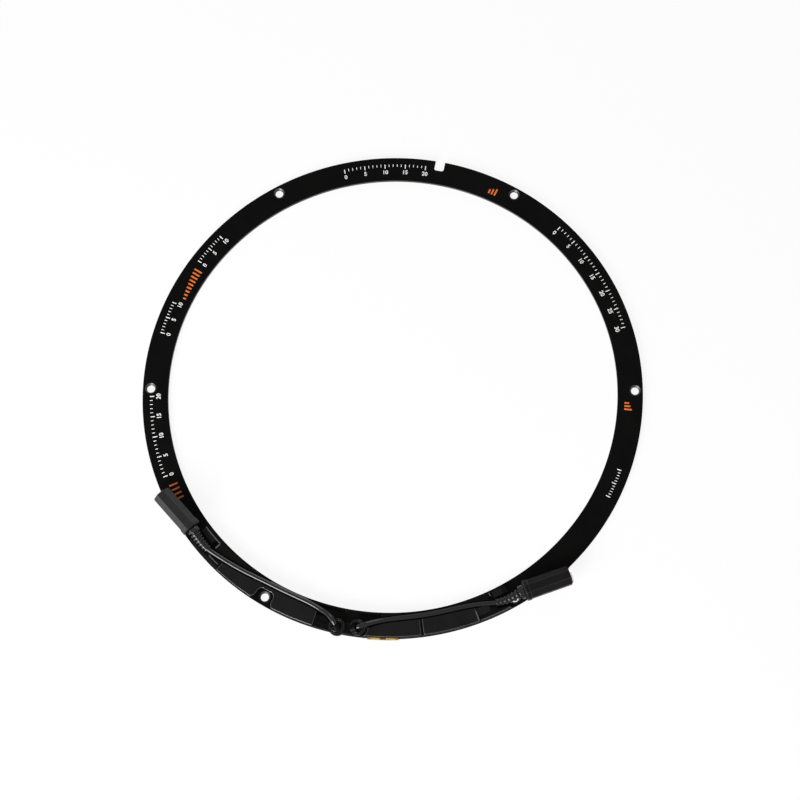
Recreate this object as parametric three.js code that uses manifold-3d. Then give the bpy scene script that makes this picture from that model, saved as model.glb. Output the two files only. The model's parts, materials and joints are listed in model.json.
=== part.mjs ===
// A heated ring for the front cell of a telescope, with its wiring cover, cables and connectors.
// Millimetres and degrees. +X is right, +Y is up and +Z points out of the ring's front face.
// Angles run anticlockwise from +X about the ring's centre, and the ring's back lies at z = 0.
import * as THREE from "three";
import { mergeVertices } from "three/addons/utils/BufferGeometryUtils.js";
import Module from "manifold-3d";

const wasm = await Module();
wasm.setup();

// Ring
const SCREW_CIRCLE_RADIUS = 127.35;
const SCREW_EDGE_DISTANCE = 4.15;
const RING_WIDTH = 13.4;
const FILM_THICKNESS = 0.25;
const GLUE_THICKNESS = 0.15;
const PLATE_THICKNESS = 1.9;
const LAMINATE_INSET = 0.3;
const SCREW_COUNT = 6;
const SCREW_HOLE_RADIUS = 2.1;
const COUNTERSINK_RADIUS = 2.9;
const COUNTERSINK_DEPTH = 0.8;
const LAMINATE_HOLE_MARGIN = 0.5;
const NOTCH_ANGLE = 79.7;
const NOTCH_WIDTH = 5.2;
const NOTCH_DEPTH = 5.3;
const NOTCH_CORNER = 1.2;

// Wiring cover
const TRAY_OUTER_INSET = 0.3;
const TRAY_INNER_INSET = 0.7;
const TRAY_FLOOR = 0.5;
const TRAY_DEPTH = 1.7;
const TRAY_START = 217.7;
const TRAY_END = 298.3;
const END_BLOCK_END = 299.3;
const END_BLOCK_WIDTH = 4.3;
const INNER_WALL = 0.8;
const LID_THICKNESS = 0.7;
const LID_INSET = 0.3;
const LID_LEFT_START = 227.5;
const LID_LEFT_END = 252.7;
const PANEL_START = 253.3;
const PANEL_END = 256.0;
const PANEL_DEPTH = 0.4;
const PANEL_OUTER_OFFSET = 3;
const OPEN_FLOOR_START = 252;
const OPEN_FLOOR_END = 268;
const LID_RIGHT_START = 263.4;
const LID_SLOT_START = 277.2;
const LID_SLOT_END = 277.8;
const LID_RIGHT_END = 290.5;
const WELL_ANGLE = 240;
const WELL_HALF_WIDTH = 4.6;
const WELL_FLARE = 3.6;
const WELL_CORNER = 2.6;
const WELL_MARGIN = 1.3;
const GROOVES = [[222.5, 223.6], [294.5, 295.3]];
const GROOVE_OFFSET = 0.4;
const POCKET_END_LEFT = [216.5, 1.7, 5];
const POCKET_END_RIGHT = [302.2, 2.6, 5];
const POCKET_CLEARANCE = 0.45;

// Cables and their strain reliefs
const CABLE_RADIUS = 1.4;
const CABLE_SIDES = 8;
const CABLE_STEP = 4.5;
const CABLE_CLEARANCE = 0.3;
const RELIEF_BORE_DEPTH = 2.8;
const SPIGOT_RADIUS = 2;
const SPIGOT_LENGTH = 2.5;
const RELIEF_RIBS = 6;
const RIB_DEPTH = 0.5;
const RIB_SHARE = 0.6;
const RIB_SLOPE_SHARE = 0.05;
const RELIEF_LEFT_SHAPE = { thin: 2.1, thick: 2.75, collar: 3 };
const RELIEF_RIGHT_SHAPE = { thin: 1.95, thick: 2.7, collar: 3.7 };
const COLLAR_LENGTH = 2.2;
const RELIEF_LEAD_IN = 1.2;

// Cable gland
const GLAND_START = 257.4;
const GLAND_END = 263.6;
const GLAND_HEIGHT = 2.5;
const GLAND_INNER_OFFSET = 0.2;
const GLAND_OUTER_OFFSET = 6;
const GLAND_FIT = 0.2;
const GLAND_WALL = 1;
const GLAND_CAVITY_MARGIN = 0.7;
const BOSS_HEIGHT = 3.3;
const BOSSES = [
  { angle: 258.2, offset: 3.6, radius: 4.4 },
  { angle: 262.9, offset: 2.0, radius: 4.2 },
];
const BOSS_LID_GAP = 0.9;
const EYELET_RADIUS = 2.3;
const EYELET_RIM_RADIUS = 2.75;
const EYELET_RIM = 0.8;
const EYELET_LENGTH = 2.4;

// Connectors
const SHELL_LENGTH = 24.8;
const SHELL_FLATS = 9.6;
const SHELL_BEVEL = 0.6;
const FLANGE_LENGTH = 3.2;
const FLANGE_FLATS = 10.2;
const SHELL_LIFT = 0.3;
const CONNECTOR_FIT = 0.2;
const LEFT_CONNECTOR = { angle: 217.0, offset: 1.6, heading: 132.4 };
const RIGHT_CONNECTOR = { angle: 302.4, offset: 2.7, heading: 19.8 };
const BUSH = { radius: 3, bore: 1.9, length: 4.2 };
const LEFT_INSERT_LENGTH = 8.5;
const LEFT_CONTACT = { wall: 0.5, length: 3 };
const BARREL = { radius: 4.1, bore: 3.7, depth: 8.4, standOut: 0.7 };
const RIGHT_INSERT_LENGTH = 3.5;
const RIGHT_CONTACT = { radius: 1.5, bore: 1, length: 6.5 };
const CONTACT_FIT = 0.2;

// Wiring under the lids
const BOARD_START = 267.4;
const BOARD_END = 275.6;
const BOARD_THICKNESS = 0.8;
const TROUGH_WALL = 1.8;
const TROUGH_MARGIN = 0.4;
const TROUGH_INNER_OFFSET = 0.6;
const TUNNEL_HEIGHT = 1;
const TUNNEL_HALF_WIDTH = 1.4;
const TUNNEL_OVERLAP = 0.5;
const TAIL_START = 265.2;
const TAIL_END = 272.1;
const TAIL_GAP = 0.35;
const TAIL_INNER_OFFSET = 2.4;
const TAIL_CLEARANCE = 0.1;
const PAD_RADIUS = 0.8;
const SOLDER_RADIUS = 0.65;
const SOLDER_HEIGHT = 0.5;
const LEAD_RADIUS = 0.3;
const LEAD_STEP = 1.5;
const LEAD_SPREAD = 0.9;
const LEAD_RISE_ANGLE = 1.4;
const LEAD_ENTRY_SPREAD = 0.5;
const LEAD_RUN_ANGLES = [-0.5, 1.6];
const LEAD_LANDING = 0.3;
const SOLDER_INSET = 0.8;
const BEAD_ANGLE = 247.2;
const BEAD_RADIUS = 0.75;
const BEAD_LENGTH = 3.4;
const BEAD_TROUGH_START = 245;
const BEAD_TROUGH_END = 251.8;
const SENSOR_LEAD_SPACING = 0.8;
const SENSOR_LEAD_ANGLES = [250, 253, 256, 258.4];
const SENSOR_LEAD_GAP = 0.1;
const SEAT_GAP = 0.1;

// Radii and levels that follow from the sizes
const OUTER_RADIUS = SCREW_CIRCLE_RADIUS + SCREW_EDGE_DISTANCE;
const BORE_RADIUS = OUTER_RADIUS - RING_WIDTH;
const PLATE_Z = FILM_THICKNESS + GLUE_THICKNESS;
const FACE_Z = PLATE_Z + PLATE_THICKNESS;
const FLOOR_Z = FACE_Z + TRAY_FLOOR;
const RIM_Z = FLOOR_Z + TRAY_DEPTH;
const LID_Z = RIM_Z + LID_THICKNESS;
const TRAY_INNER = BORE_RADIUS + TRAY_INNER_INSET;
const TRAY_OUTER = OUTER_RADIUS - TRAY_OUTER_INSET;
const TRAY_MIDDLE = (TRAY_INNER + TRAY_OUTER) / 2;
const LID_OUTER = TRAY_OUTER - LID_INSET;
const TROUGH_INNER = TRAY_MIDDLE + TROUGH_INNER_OFFSET;
const TROUGH_OUTER = TRAY_OUTER - TROUGH_WALL;
const LEAD_MIDDLE = (TROUGH_INNER + TROUGH_OUTER) / 2;
const LEAD_OFFSET = LEAD_MIDDLE - TRAY_MIDDLE;
const LEAD_ENTRY = (BOSSES[0].angle + BOSSES[1].angle) / 2;
const LEAD_RISE_START = BOARD_START - LEAD_RISE_ANGLE;
const CONNECTOR_Z = FACE_Z + SHELL_LIFT + FLANGE_FLATS / 2;
const PAST = 2;
const RING_SEGMENTS = 96;
const ARC_STEP = 3.75;

// Routes: angle, distance outwards from the cover's middle line, height above its floor
const CABLE_LEFT = [
  [258.6, 4.6, 2.0], [258.35, 4.0, 2.5], [257.8, 2.8, 3.5], [257.2, 1.4, 4.25], [256.3, -0.2, 4.2],
  [255.2, -1.6, 3.1], [254, -2.6, 2.0], [252, -3.8, 1.55], [250, -4.5, 1.5], [247, -4.9, 1.5],
  [244, -4.9, 1.5], [241, -4.7, 1.5], [238, -4.2, 1.5], [235, -3.3, 1.5], [232, -2.2, 1.5],
  [229, -1.0, 1.55], [226, 0.3, 1.7], [224, 1.3, 2.1], [222.9, 1.8, 2.5], [221.8, 2.0, 2.85],
];
const CABLE_RIGHT = [
  [261.55, 3.6, 2.0], [261.9, 3.2, 2.5], [262.6, 2.4, 3.5], [263.5, 1.5, 4.25], [264.7, 0.3, 4.2],
  [266, -0.9, 3.2], [267.3, -1.9, 2.1], [269, -2.8, 1.55], [272, -3.6, 1.5], [276, -4.0, 1.5],
  [280, -4.1, 1.5], [285, -4.0, 1.5], [289, -3.4, 1.5], [292, -2.1, 1.55], [294.3, -0.4, 1.85],
  [295.6, 0.6, 2.25], [296.7, 1.2, 2.45],
];
const RELIEF_LEFT = [[222.9, 1.8, 2.5], [221.4, 2.0, 3.0], [219.8, 1.95, 3.75], [218.5, 1.75, 4.5]];
const RELIEF_RIGHT = [[295.6, 0.6, 2.25], [297.4, 1.5, 2.65], [299.2, 2.05, 3.4], [300.7, 2.25, 4.3]];

const plastic = new THREE.MeshStandardMaterial({ color: 0x17181a, roughness: 0.42, metalness: 0 });
const shellPlastic = new THREE.MeshStandardMaterial({ color: 0x232427, roughness: 0.55, metalness: 0 });
const anodised = new THREE.MeshStandardMaterial({ color: 0x0e0f11, roughness: 0.5, metalness: 0.6 });
const polyimide = new THREE.MeshStandardMaterial({ color: 0xb8862a, roughness: 0.35, metalness: 0 });
const glue = new THREE.MeshStandardMaterial({ color: 0x8d8d88, roughness: 0.8, metalness: 0 });
const rubber = new THREE.MeshStandardMaterial({ color: 0x101112, roughness: 0.38, metalness: 0 });
const fibreglass = new THREE.MeshStandardMaterial({ color: 0x1e4a2c, roughness: 0.5, metalness: 0 });
const solder = new THREE.MeshStandardMaterial({ color: 0xb9bbbe, roughness: 0.3, metalness: 1 });
const nickel = new THREE.MeshStandardMaterial({ color: 0xc9c8c4, roughness: 0.22, metalness: 1 });
const insulation = new THREE.MeshStandardMaterial({ color: 0x2a2a2c, roughness: 0.6, metalness: 0 });
const redInsulation = new THREE.MeshStandardMaterial({ color: 0x9c2a22, roughness: 0.5, metalness: 0 });
const epoxy = new THREE.MeshStandardMaterial({ color: 0x2b2320, roughness: 0.35, metalness: 0 });

// A whole number of steps along an arc, none longer than the arc step
function arcSteps(from, to) {
  return Math.max(1, Math.ceil(Math.abs(to - from) / ARC_STEP));
}

function radians(degrees) {
  return THREE.MathUtils.degToRad(degrees);
}

function polar(angle, radius) {
  return new THREE.Vector2(radius * Math.cos(radians(angle)), radius * Math.sin(radians(angle)));
}

function onCover([angle, offset, height]) {
  const place = polar(angle, TRAY_MIDDLE + offset);
  return new THREE.Vector3(place.x, place.y, FLOOR_Z + height);
}

function arcPoints(radius, from, to) {
  const steps = arcSteps(from, to);
  return Array.from({ length: steps + 1 }, (_, i) => polar(from + ((to - from) * i) / steps, radius));
}

// The flat shape between two radii and two angles
function bandShape(inner, outer, from, to) {
  return new THREE.Shape([...arcPoints(outer, from, to), ...arcPoints(inner, to, from)]);
}

function circlePath(radius, segments, centre = new THREE.Vector2()) {
  const turn = Array.from({ length: segments }, (_, i) => polar((360 * i) / segments, radius).add(centre));
  return new THREE.Path(turn);
}

// A flat shape raised between two heights
function slab(shape, bottom, top) {
  const geometry = new THREE.ExtrudeGeometry(shape, { depth: top - bottom, bevelEnabled: false });
  return geometry.translate(0, 0, bottom);
}

function band(inner, outer, from, to, bottom, top) {
  return slab(bandShape(inner, outer, from, to), bottom, top);
}

function post(angle, offset, radius, bottom, top, segments = 20) {
  const centre = polar(angle, TRAY_MIDDLE + offset);
  return slab(new THREE.Shape(circlePath(radius, segments, centre).getPoints()), bottom, top);
}

// A closed body with merged corners and its faces turned outwards
function closed(geometry) {
  const plain = geometry.clone();
  plain.deleteAttribute("normal");
  plain.deleteAttribute("uv");
  const body = mergeVertices(plain, 1e-5);
  const index = body.index.array;
  const corners = [new THREE.Vector3(), new THREE.Vector3(), new THREE.Vector3()];
  let volume = 0;
  for (let i = 0; i < index.length; i += 3) {
    corners.forEach((corner, k) => corner.fromBufferAttribute(body.attributes.position, index[i + k]));
    volume += corners[0].dot(corners[1].clone().cross(corners[2]));
  }
  for (let i = 0; volume < 0 && i < index.length; i += 3) {
    [index[i + 1], index[i + 2]] = [index[i + 2], index[i + 1]];
  }
  return body;
}

function solidOf(geometry) {
  const body = closed(geometry);
  const vertProperties = new Float32Array(body.attributes.position.array);
  const triVerts = new Uint32Array(body.index.array);
  return new wasm.Manifold(new wasm.Mesh({ numProp: 3, vertProperties, triVerts }));
}

function geometryOf(solid) {
  const mesh = solid.getMesh();
  const geometry = new THREE.BufferGeometry();
  geometry.setAttribute("position", new THREE.BufferAttribute(new Float32Array(mesh.vertProperties), 3));
  geometry.setIndex(new THREE.BufferAttribute(new Uint32Array(mesh.triVerts), 1));
  return geometry;
}

function joined(geometries) {
  return geometryOf(geometries.map(solidOf).reduce((all, one) => all.add(one)));
}

function cut(geometry, tools) {
  return geometryOf(tools.map(solidOf).reduce((rest, tool) => rest.subtract(tool), solidOf(geometry)));
}

function routeCurve(points) {
  return new THREE.CatmullRomCurve3(points, false, "centripetal");
}

function tube(points, radius, sides, step) {
  const path = routeCurve(points);
  const section = new THREE.Shape(circlePath(radius, sides).getPoints());
  const steps = Math.ceil(path.getLength() / step);
  return closed(new THREE.ExtrudeGeometry(section, { steps, extrudePath: path, bevelEnabled: false }));
}

// The flat strip within a distance of a route, between two of its points
function stripShape(points, halfWidth) {
  const path = routeCurve(points.map((point) => new THREE.Vector3(point.x, point.y, 0)));
  const count = Math.ceil(path.getLength() / CABLE_STEP);
  const sides = [[], []];
  for (let i = 0; i <= count; i += 1) {
    const along = path.getTangentAt(i / count);
    const across = new THREE.Vector2(-along.y, along.x).multiplyScalar(halfWidth);
    const middle = path.getPointAt(i / count);
    sides[0].push(new THREE.Vector2(middle.x + across.x, middle.y + across.y));
    sides[1].unshift(new THREE.Vector2(middle.x - across.x, middle.y - across.y));
  }
  return new THREE.Shape([...sides[0], ...sides[1]]);
}

// Everything on the ring's inner side of a cable's outer flank
function insideCable(route, gap) {
  const reach = CABLE_RADIUS + gap;
  const path = routeCurve(route.map(onCover).map((point) => new THREE.Vector3(point.x, point.y, 0)));
  const count = Math.ceil(path.getLength() / CABLE_STEP);
  const flank = [];
  for (let i = 0; i <= count; i += 1) {
    const along = path.getTangentAt(i / count);
    const middle = path.getPointAt(i / count);
    const outwards = new THREE.Vector2(along.y, -along.x);
    outwards.multiplyScalar(Math.sign(outwards.dot(middle)) * reach);
    flank.push(new THREE.Vector2(middle.x + outwards.x, middle.y + outwards.y));
  }
  const back = flank.map((point) => point.clone().setLength(BORE_RADIUS - PAST)).reverse();
  return slab(new THREE.Shape([...flank, ...back]), FLOOR_Z, LID_Z + PAST);
}

// A turned body whose axis is bent along a route, with the profile's heights as distances along it
function bentLathe(profile, points, segments) {
  const path = routeCurve(points);
  const length = path.getLength();
  const geometry = closed(new THREE.LatheGeometry(profile, segments));
  const position = geometry.attributes.position;
  const up = new THREE.Vector3(0, 0, 1);
  for (let i = 0; i < position.count; i += 1) {
    const share = THREE.MathUtils.clamp(position.getY(i) / length, 0, 1);
    const along = path.getTangentAt(share);
    const side = along.clone().cross(up).normalize();
    const over = side.clone().cross(along);
    const place = path.getPointAt(share);
    place.addScaledVector(side, position.getX(i)).addScaledVector(over, position.getZ(i));
    position.setXYZ(i, place.x, place.y, place.z);
  }
  return closed(geometry);
}

function profileOf(pairs) {
  return pairs.map(([radius, height]) => new THREE.Vector2(radius, height));
}

// A turned body along +Z
function turned(pairs, segments) {
  return closed(new THREE.LatheGeometry(profileOf(pairs), segments).rotateX(Math.PI / 2));
}

function sleeve(inner, outer, bottom, top, segments = 16) {
  return turned([[inner, bottom], [outer, bottom], [outer, top], [inner, top], [inner, bottom]], segments);
}

function plug(radius, bottom, top, segments = 16) {
  return turned([[0, bottom], [radius, bottom], [radius, top], [0, top]], segments);
}

const ring = new THREE.Group();

function add(name, geometry, material, parent = ring) {
  const mesh = new THREE.Mesh(geometry, material);
  mesh.name = name;
  parent.add(mesh);
  return mesh;
}

// The ring's outline: outer edge with its notch, the bore and the screw holes
function notchPoints(outer, margin) {
  const half = NOTCH_WIDTH / 2 + margin;
  const depth = NOTCH_DEPTH + margin;
  const floor = outer - depth;
  const mouth = Math.sqrt(outer * outer - half * half);
  const corner = NOTCH_CORNER;
  const turn = 4;
  const points = [[half, mouth]];
  for (let i = 0; i <= turn; i += 1) {
    const angle = radians((90 * i) / turn);
    points.push([half - corner + corner * Math.cos(angle), floor + corner - corner * Math.sin(angle)]);
  }
  const all = [...points, ...points.map(([across, out]) => [-across, out]).reverse()];
  const turnBy = radians(NOTCH_ANGLE - 90);
  return all.map(([across, out]) => new THREE.Vector2(across, out).rotateAround(new THREE.Vector2(), turnBy));
}

function ringShape(inset, margin) {
  const outer = OUTER_RADIUS - inset;
  const halfAngle = THREE.MathUtils.radToDeg(Math.asin((NOTCH_WIDTH / 2 + margin) / outer));
  const first = NOTCH_ANGLE + halfAngle;
  const sweep = 360 - 2 * halfAngle;
  const rim = [];
  for (let i = 1; i < RING_SEGMENTS; i += 1) {
    rim.push(polar(first + (sweep * i) / RING_SEGMENTS, outer));
  }
  const shape = new THREE.Shape([...rim, ...notchPoints(outer, margin)]);
  shape.holes.push(circlePath(BORE_RADIUS + inset, RING_SEGMENTS));
  for (let i = 0; i < SCREW_COUNT; i += 1) {
    const centre = polar((360 * i) / SCREW_COUNT, SCREW_CIRCLE_RADIUS);
    shape.holes.push(circlePath(SCREW_HOLE_RADIUS + margin, 24, centre));
  }
  return shape;
}

function countersink(index) {
  const centre = polar((360 * index) / SCREW_COUNT, SCREW_CIRCLE_RADIUS);
  const slope = (COUNTERSINK_RADIUS - SCREW_HOLE_RADIUS) / COUNTERSINK_DEPTH;
  const top = COUNTERSINK_RADIUS + slope * COUNTERSINK_DEPTH;
  const wall = [[SCREW_HOLE_RADIUS, -COUNTERSINK_DEPTH], [top, COUNTERSINK_DEPTH]];
  const cone = turned([[0, -COUNTERSINK_DEPTH], ...wall, [0, COUNTERSINK_DEPTH]], 24);
  return cone.translate(centre.x, centre.y, FACE_Z);
}

function addRing() {
  const sinks = Array.from({ length: SCREW_COUNT }, (_, i) => countersink(i));
  add("ring_plate", cut(slab(ringShape(0, 0), PLATE_Z, FACE_Z), sinks), anodised);
  add("glue_layer", slab(ringShape(LAMINATE_INSET, LAMINATE_HOLE_MARGIN), FILM_THICKNESS, PLATE_Z), glue);
  const wallInner = OUTER_RADIUS + TAIL_GAP;
  const wallOuter = wallInner + FILM_THICKNESS;
  const tailTop = FACE_Z + FILM_THICKNESS;
  const film = joined([
    slab(ringShape(LAMINATE_INSET, LAMINATE_HOLE_MARGIN), 0, FILM_THICKNESS),
    band(OUTER_RADIUS - 2 * LAMINATE_INSET, wallOuter, TAIL_START, TAIL_END, 0, FILM_THICKNESS),
    band(wallInner, wallOuter, TAIL_START, TAIL_END, 0, tailTop),
    band(TRAY_MIDDLE + TAIL_INNER_OFFSET, wallOuter, TAIL_START, TAIL_END, FACE_Z, tailTop),
  ]);
  add("heater_film", film, polyimide);
}

// The gap in the cover round one ring screw, open to the outer edge
function screwWell() {
  const mouth = TRAY_OUTER;
  const floor = SCREW_CIRCLE_RADIUS - SCREW_HOLE_RADIUS - WELL_MARGIN;
  const half = WELL_HALF_WIDTH;
  const shape = new THREE.Shape();
  shape.moveTo(-half - WELL_FLARE, mouth + PAST);
  shape.lineTo(-half - WELL_FLARE, mouth);
  shape.absarc(-half - WELL_FLARE, mouth - WELL_FLARE, WELL_FLARE, Math.PI / 2, 0, true);
  shape.lineTo(-half, floor + WELL_CORNER);
  shape.absarc(-half + WELL_CORNER, floor + WELL_CORNER, WELL_CORNER, Math.PI, Math.PI * 1.5, false);
  shape.lineTo(half - WELL_CORNER, floor);
  shape.absarc(half - WELL_CORNER, floor + WELL_CORNER, WELL_CORNER, -Math.PI / 2, 0, false);
  shape.lineTo(half, mouth - WELL_FLARE);
  shape.absarc(half + WELL_FLARE, mouth - WELL_FLARE, WELL_FLARE, Math.PI, Math.PI / 2, true);
  shape.lineTo(half + WELL_FLARE, mouth + PAST);
  const options = { depth: LID_Z + PAST, bevelEnabled: false, curveSegments: 3 };
  return new THREE.ExtrudeGeometry(shape, options).rotateZ(radians(WELL_ANGLE - 90));
}

function channel(route, halfWidth) {
  return slab(stripShape(route.map(onCover), halfWidth), FLOOR_Z, LID_Z + PAST);
}

function glandFootprint(margin, bottom, top) {
  const inner = TRAY_MIDDLE + GLAND_INNER_OFFSET - margin;
  const outer = TRAY_MIDDLE + GLAND_OUTER_OFFSET + margin;
  const posts = BOSSES.map((boss) => post(boss.angle, boss.offset, boss.radius + margin, bottom, top));
  return [band(inner, outer, GLAND_START, GLAND_END, bottom, top), ...posts];
}

// The low passages that the wires use under the panel and beside the gland
function wireTunnels() {
  const inner = LEAD_MIDDLE - TUNNEL_HALF_WIDTH;
  const outer = LEAD_MIDDLE + TUNNEL_HALF_WIDTH;
  const roof = FLOOR_Z + TUNNEL_HEIGHT;
  const towardsBead = band(inner, outer, BEAD_TROUGH_END - TUNNEL_OVERLAP, BOSSES[0].angle, FLOOR_Z, roof);
  const towardsBoard = band(inner, outer, BOSSES[1].angle, BOARD_START, FLOOR_Z, roof);
  const rise = band(inner, outer, LEAD_RISE_START, BOARD_START, FLOOR_Z, RIM_Z);
  return [towardsBead, towardsBoard, rise];
}

function addTray() {
  const top = LID_Z + PAST;
  const body = joined([
    band(TRAY_INNER, TRAY_OUTER, TRAY_START, TRAY_END, FACE_Z, RIM_Z),
    band(TRAY_INNER, TRAY_INNER + END_BLOCK_WIDTH, TRAY_END - 1, END_BLOCK_END, FACE_Z, RIM_Z),
  ]);
  const groove = ([from, to]) => {
    const outer = TRAY_MIDDLE - GROOVE_OFFSET;
    return band(TRAY_INNER + INNER_WALL, outer, from, to, FLOOR_Z, top);
  };
  const panelBottom = RIM_Z - PANEL_DEPTH;
  const slotTop = FACE_Z + FILM_THICKNESS + TAIL_CLEARANCE;
  const tailStart = TAIL_START - TAIL_CLEARANCE;
  const tailEnd = TAIL_END + TAIL_CLEARANCE;
  const tailInner = TRAY_MIDDLE + TAIL_INNER_OFFSET - TAIL_CLEARANCE;
  const tray = cut(body, [
    channel(CABLE_LEFT, CABLE_RADIUS + CABLE_CLEARANCE),
    channel(CABLE_RIGHT, CABLE_RADIUS + CABLE_CLEARANCE),
    channel([...RELIEF_LEFT, POCKET_END_LEFT], RELIEF_LEFT_SHAPE.thick + POCKET_CLEARANCE),
    channel([...RELIEF_RIGHT, POCKET_END_RIGHT], RELIEF_RIGHT_SHAPE.thick + POCKET_CLEARANCE),
    band(TRAY_INNER + INNER_WALL, TRAY_MIDDLE, OPEN_FLOOR_START, OPEN_FLOOR_END, FLOOR_Z, top),
    band(TRAY_MIDDLE - 4, TRAY_MIDDLE + PANEL_OUTER_OFFSET, PANEL_START, PANEL_END, panelBottom, top),
    ...glandFootprint(GLAND_FIT, FLOOR_Z, top),
    ...GROOVES.map(groove),
    ...wireTunnels(),
    band(TROUGH_INNER, TROUGH_OUTER, BOARD_START - TROUGH_MARGIN, BOARD_END + TROUGH_MARGIN, FLOOR_Z, top),
    band(TROUGH_INNER, TROUGH_OUTER, BEAD_TROUGH_START, BEAD_TROUGH_END, FLOOR_Z, top),
    band(tailInner, TRAY_OUTER + PAST, tailStart, tailEnd, FACE_Z, slotTop),
    band(tailInner, TROUGH_OUTER, BOARD_START - TROUGH_MARGIN, tailEnd, FACE_Z, FLOOR_Z),
    screwWell(),
  ]);
  add("base_tray", tray, plastic);
}

function addLids() {
  const leftLid = cut(band(TRAY_INNER, LID_OUTER, LID_LEFT_START, LID_LEFT_END, RIM_Z, LID_Z), [
    insideCable(CABLE_LEFT, CABLE_CLEARANCE),
    screwWell(),
  ]);
  add("lid_left", leftLid, plastic);
  const boss = BOSSES[1];
  const clear = post(boss.angle, boss.offset, boss.radius + BOSS_LID_GAP, RIM_Z, LID_Z, 24);
  const innerLid = cut(band(TRAY_INNER, LID_OUTER, LID_RIGHT_START, LID_SLOT_START, RIM_Z, LID_Z), [
    insideCable(CABLE_RIGHT, CABLE_CLEARANCE),
    clear,
  ]);
  add("lid_right_inner", innerLid, plastic);
  const outerLid = band(TRAY_INNER, LID_OUTER, LID_SLOT_END, LID_RIGHT_END, RIM_Z, LID_Z);
  add("lid_right_outer", cut(outerLid, [insideCable(CABLE_RIGHT, CABLE_CLEARANCE)]), plastic);
}

// A short rimmed sleeve round a cable where it leaves the gland
function eyelet(route) {
  const mouth = onCover(route[2]);
  const axis = mouth.clone().sub(onCover(route[0])).normalize();
  const rimStart = -EYELET_RIM / 2;
  const body = turned([
    [0, -EYELET_LENGTH], [EYELET_RADIUS, -EYELET_LENGTH], [EYELET_RADIUS, rimStart],
    [EYELET_RIM_RADIUS, rimStart], [EYELET_RIM_RADIUS, rimStart + EYELET_RIM], [0, rimStart + EYELET_RIM],
  ], 16);
  const turn = new THREE.Quaternion().setFromUnitVectors(new THREE.Vector3(0, 0, 1), axis);
  return body.applyQuaternion(turn).translate(mouth.x, mouth.y, mouth.z);
}

function addGland() {
  const inner = TRAY_MIDDLE + GLAND_INNER_OFFSET;
  const outer = TRAY_MIDDLE + GLAND_OUTER_OFFSET;
  const bosses = BOSSES.map((boss) => {
    return post(boss.angle, boss.offset, boss.radius, FLOOR_Z, FLOOR_Z + BOSS_HEIGHT);
  });
  const body = joined([
    band(inner, outer, GLAND_START, GLAND_END, FLOOR_Z, FLOOR_Z + GLAND_HEIGHT),
    ...bosses,
    eyelet(CABLE_LEFT),
    eyelet(CABLE_RIGHT),
  ]);
  const reach = CABLE_RADIUS + CABLE_CLEARANCE;
  const cavityStart = BOSSES[0].angle - GLAND_CAVITY_MARGIN;
  const cavityEnd = BOSSES[1].angle + GLAND_CAVITY_MARGIN;
  const roof = FLOOR_Z + TUNNEL_HEIGHT;
  const gland = cut(body, [
    tube(CABLE_LEFT.map(onCover), reach, CABLE_SIDES, CABLE_STEP),
    tube(CABLE_RIGHT.map(onCover), reach, CABLE_SIDES, CABLE_STEP),
    band(inner + GLAND_WALL, outer - GLAND_WALL, cavityStart, cavityEnd, FLOOR_Z, roof),
    ...wireTunnels(),
  ]);
  add("cable_gland", gland, plastic);
}

// Where a connector's near end lies, which way it points, and how it is placed
function connectorFrame({ angle, offset, heading }) {
  const place = polar(angle, TRAY_MIDDLE + offset);
  const start = new THREE.Vector3(place.x, place.y, CONNECTOR_Z);
  const axis = new THREE.Vector3(Math.cos(radians(heading)), Math.sin(radians(heading)), 0);
  return { start, axis };
}

function connectorGroup(connector) {
  const group = new THREE.Group();
  group.position.copy(connectorFrame(connector).start);
  group.rotation.set(0, Math.PI / 2, radians(connector.heading), "ZYX");
  ring.add(group);
  return group;
}

function octagon(flats) {
  const corner = flats / 2 / Math.cos(Math.PI / 8);
  return new THREE.Shape(Array.from({ length: 8 }, (_, i) => polar(22.5 + 45 * i, corner)));
}

function octagonBar(flats, start, end) {
  const options = {
    depth: end - start - 2 * SHELL_BEVEL,
    bevelThickness: SHELL_BEVEL,
    bevelSize: SHELL_BEVEL,
    bevelOffset: -SHELL_BEVEL,
    bevelSegments: 1,
  };
  return new THREE.ExtrudeGeometry(octagon(flats), options).translate(0, 0, start + SHELL_BEVEL);
}

function shell(socketRadius, socketDepth) {
  const bodyStart = FLANGE_LENGTH / 3;
  const flange = octagonBar(FLANGE_FLATS, 0, FLANGE_LENGTH);
  const body = joined([flange, octagonBar(SHELL_FLATS, bodyStart, SHELL_LENGTH)]);
  return cut(body, [
    plug(SPIGOT_RADIUS + CONNECTOR_FIT, -PAST, SPIGOT_LENGTH + CONNECTOR_FIT),
    plug(socketRadius + CONNECTOR_FIT, SHELL_LENGTH - socketDepth - CONNECTOR_FIT, SHELL_LENGTH + PAST),
  ]);
}

// The threaded-looking relief: ribs that grow from the cable towards the connector
function reliefProfile(length, { thin, thick, collar }) {
  const bore = CABLE_RADIUS + CABLE_CLEARANCE;
  const ribbed = length - SPIGOT_LENGTH - COLLAR_LENGTH;
  const pitch = ribbed / RELIEF_RIBS;
  const rib = pitch * RIB_SHARE;
  const slope = pitch * RIB_SLOPE_SHARE;
  const profile = [[0, RELIEF_BORE_DEPTH], [bore, RELIEF_BORE_DEPTH], [bore, 0]];
  for (let i = 0; i < RELIEF_RIBS; i += 1) {
    const radius = thin + ((thick - thin) * (i + 1)) / RELIEF_RIBS;
    const groove = radius - RIB_DEPTH;
    const start = pitch * i;
    profile.push([radius, start], [radius, start + rib]);
    profile.push([groove, start + rib + slope], [groove, start + pitch - slope]);
  }
  const root = length - SPIGOT_LENGTH - CONNECTOR_FIT;
  profile.push([collar, ribbed], [collar, root], [SPIGOT_RADIUS, root]);
  profile.push([SPIGOT_RADIUS, length], [0, length]);
  return profileOf(profile);
}

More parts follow.
